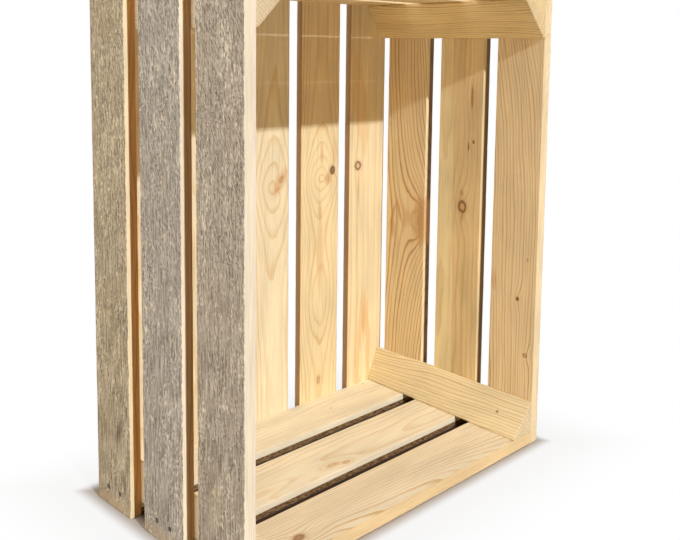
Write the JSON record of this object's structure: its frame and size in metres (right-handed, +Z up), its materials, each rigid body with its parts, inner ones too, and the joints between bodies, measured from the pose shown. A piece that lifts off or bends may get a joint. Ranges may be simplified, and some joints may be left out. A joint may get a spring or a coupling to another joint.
{
  "type": "kindling crate",
  "caption": "Slatted wooden crate for kindling, its sawn boards nailed to three-sided corner posts; it stands on a short end with its open side to the front.",
  "frame": {"origin": "middle of the footprint, on the surface that the crate stands on", "axes": "+Z up along the side boards, -Y out of the open side, +Y out through the floor boards, +X to the right as seen into the open side"},
  "size_m": [0.416, 0.24, 0.5],
  "materials": {
    "weathered_board": "rough-sawn, weathered grey outside",
    "inner_board": "sawn pine, knotty",
    "end_board": "sawn pine, pale",
    "floor_board": "sawn pine, long cathedral grain",
    "corner_post": "sawn pine, end grain at both ends",
    "nail": "dull, slightly rusty"
  },
  "bodies": {
    "root": {"left_board_front": "weathered_board", "left_board_middle": "weathered_board", "left_board_back": "weathered_board", "right_board_front": "inner_board", "right_board_middle": "inner_board", "right_board_back": "inner_board", "lower_board_front": "end_board", "lower_board_middle": "end_board", "lower_board_back": "end_board", "upper_board_front": "end_board", "upper_board_middle": "end_board", "upper_board_back": "end_board", "floor_board_1": "floor_board", "floor_board_2": "floor_board", "floor_board_3": "floor_board", "floor_board_4": "floor_board", "floor_board_5": "floor_board", "post_lower_left": "corner_post", "post_lower_right": "corner_post", "post_upper_left": "corner_post", "post_upper_right": "corner_post", "left_wall_nails": "nail", "right_wall_nails": "nail", "lower_end_nails": "nail", "upper_end_nails": "nail", "floor_nails_lower": "nail", "floor_nails_upper": "nail"}
  },
  "joints": []
}
